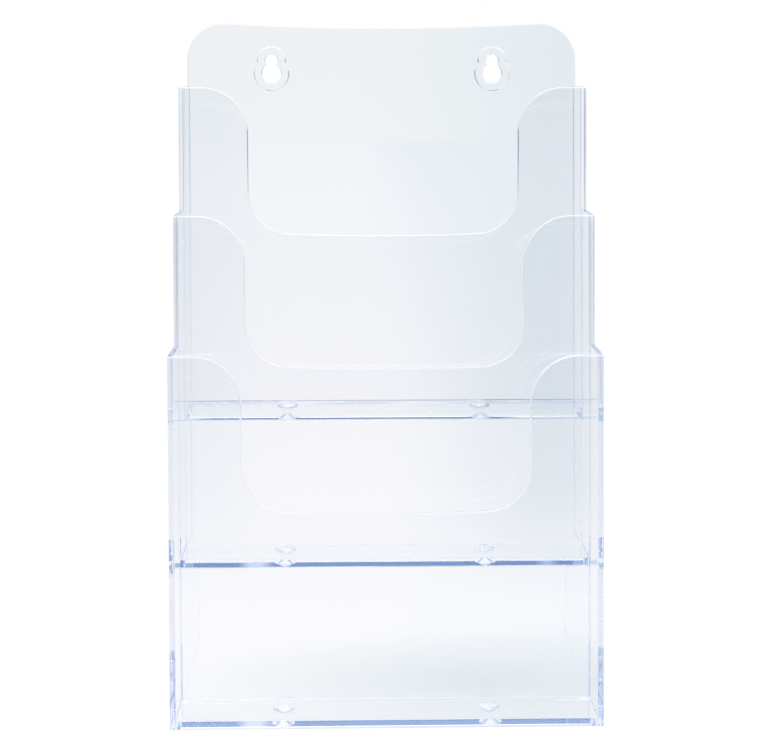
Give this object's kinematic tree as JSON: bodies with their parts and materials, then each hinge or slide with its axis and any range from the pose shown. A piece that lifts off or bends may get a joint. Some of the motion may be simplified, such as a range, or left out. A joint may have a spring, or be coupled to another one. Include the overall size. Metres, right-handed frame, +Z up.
{
  "type": "magazine rack",
  "caption": "Clear plastic tiered rack whose leaning pockets with scooped fronts hold A4 magazines and brochures on a desk or a wall.",
  "frame": {"origin": "middle of the bounding box in plan, on the surface that the rack stands on", "axes": "+X to the right seen from the front, +Y from the front of the rack to its back, +Z up"},
  "size_m": [0.24, 0.1688, 0.3832],
  "materials": {
    "clear_polystyrene": "clear injection-moulded polystyrene, high gloss, faint blue at the edges"
  },
  "bodies": {
    "root": {"base_pocket": "clear_polystyrene", "middle_pocket": "clear_polystyrene", "top_pocket": "clear_polystyrene", "back_panel": "clear_polystyrene", "rear_foot": "clear_polystyrene"}
  },
  "joints": []
}
